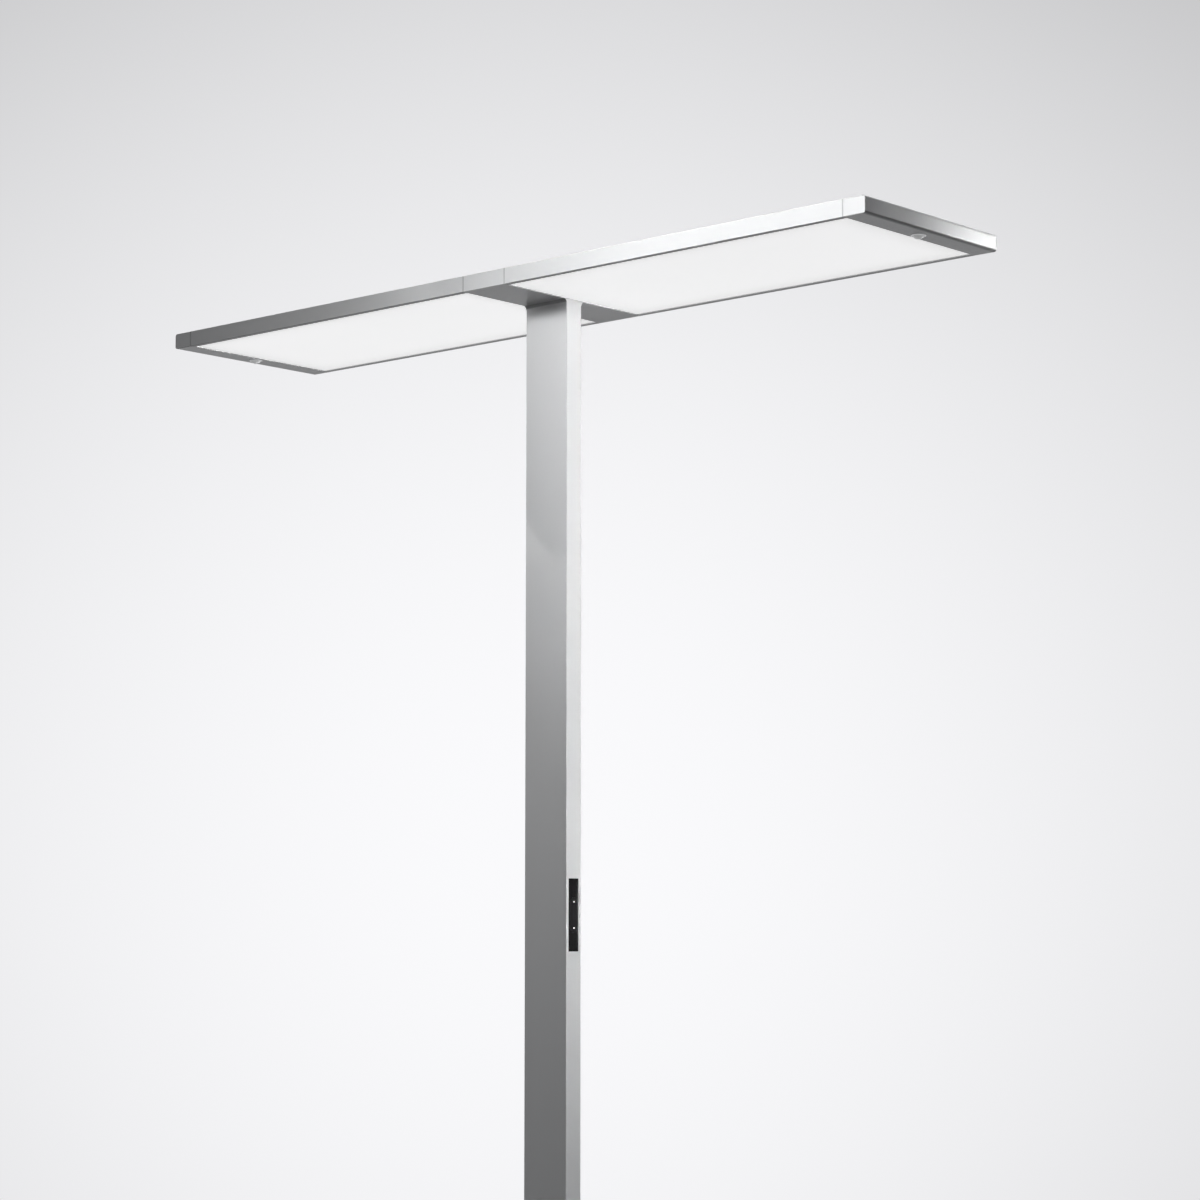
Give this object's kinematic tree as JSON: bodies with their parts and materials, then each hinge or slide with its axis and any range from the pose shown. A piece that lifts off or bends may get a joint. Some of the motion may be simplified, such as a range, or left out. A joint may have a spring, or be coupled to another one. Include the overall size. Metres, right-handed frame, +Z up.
{
  "type": "office floor lamp",
  "caption": "Office floor lamp: slim double head on a flat column with edge-lit diffusers, presence sensors, a rocker key panel and a flat base plate.",
  "frame": {"origin": "on the floor, under the middle of the column and of the head", "axes": "+Z up; +X along the head, towards the control panel's side of the column; +Y across the head, away from the front fascia"},
  "size_m": [1.37, 0.32, 1.95],
  "materials": {
    "satin_aluminium": "satin silver-grey, anodised",
    "cast_aluminium": "satin silver-grey coat on a casting",
    "base_steel": "satin silver-grey powder coat on steel",
    "opal_diffuser": "white, lit",
    "clear_acrylic": "clear, printed with dots",
    "clear_cover": "frosted",
    "white_film": "matt white",
    "folded_sheet": "galvanised sheet",
    "plain_steel": "zinc plated",
    "screw_steel": "zinc plated",
    "circuit_board": "solder mask",
    "driver_case": "white moulding",
    "terminal_plastic": "light grey moulding",
    "wire_sheath": "grey sheath",
    "gland_metal": "nickel plated",
    "black_rubber": "matt black",
    "black_panel": "gloss black",
    "black_key": "satin black",
    "light_mark": "clear light pipe, lit white",
    "sensor_ring": "pale grey moulding",
    "sensor_lens": "milky white moulding"
  },
  "bodies": {
    "root": {"front_rail_left": "satin_aluminium", "rear_rail_left": "satin_aluminium", "light_tray_left": "folded_sheet", "edge_led_strips_left": "circuit_board", "light_guide_left": "clear_acrylic", "reflector_left": "white_film", "diffuser_left": "opal_diffuser", "uplight_board_left": "circuit_board", "uplight_window_left": "clear_cover", "top_cover_left": "satin_aluminium", "cover_screws_left": "screw_steel", "end_cap_left": "cast_aluminium", "cap_screws_left": "screw_steel", "sensor_ring_left": "sensor_ring", "sensor_lens_left": "sensor_lens", "sensor_board_left": "circuit_board", "daylight_window_left": "black_panel", "front_rail_right": "satin_aluminium", "rear_rail_right": "satin_aluminium", "light_tray_right": "folded_sheet", "edge_led_strips_right": "circuit_board", "light_guide_right": "clear_acrylic", "reflector_right": "white_film", "diffuser_right": "opal_diffuser", "uplight_board_right": "circuit_board", "uplight_window_right": "clear_cover", "top_cover_right": "satin_aluminium", "cover_screws_right": "screw_steel", "end_cap_right": "cast_aluminium", "cap_screws_right": "screw_steel", "sensor_ring_right": "sensor_ring", "sensor_lens_right": "sensor_lens", "sensor_board_right": "circuit_board", "daylight_window_right": "black_panel", "neck_casting": "cast_aluminium", "neck_cover": "satin_aluminium", "neck_screws": "screw_steel", "rail_screws": "screw_steel", "bridge_bars": "plain_steel", "bridge_screws": "screw_steel", "head_terminal": "terminal_plastic", "head_wiring": "wire_sheath", "column": "satin_aluminium", "driver_slide": "folded_sheet", "downlight_driver": "driver_case", "uplight_driver": "driver_case", "column_wiring": "wire_sheath", "mains_terminal": "terminal_plastic", "gland_body": "gland_metal", "gland_locknut": "gland_metal", "gland_nut": "gland_metal", "gland_seal": "black_rubber", "panel_bezel": "black_panel", "control_board": "circuit_board", "rocker_pin": "plain_steel", "base_plate": "base_steel", "foot_locator": "plain_steel", "base_screws": "screw_steel", "locator_screws": "screw_steel", "foot_pads": "black_rubber"},
    "rocker": {"rocker_key": "black_key", "rocker_marks": "light_mark"}
  },
  "joints": [
    {"name": "rocker_tilt", "type": "hinge", "parent": "root", "child": "rocker", "pos_m": [0.0376, 0, 1.025], "axis": [0, 1, 0], "range_deg": [-2, 2], "stiffness_Nm_per_rad": 0.6}
  ]
}
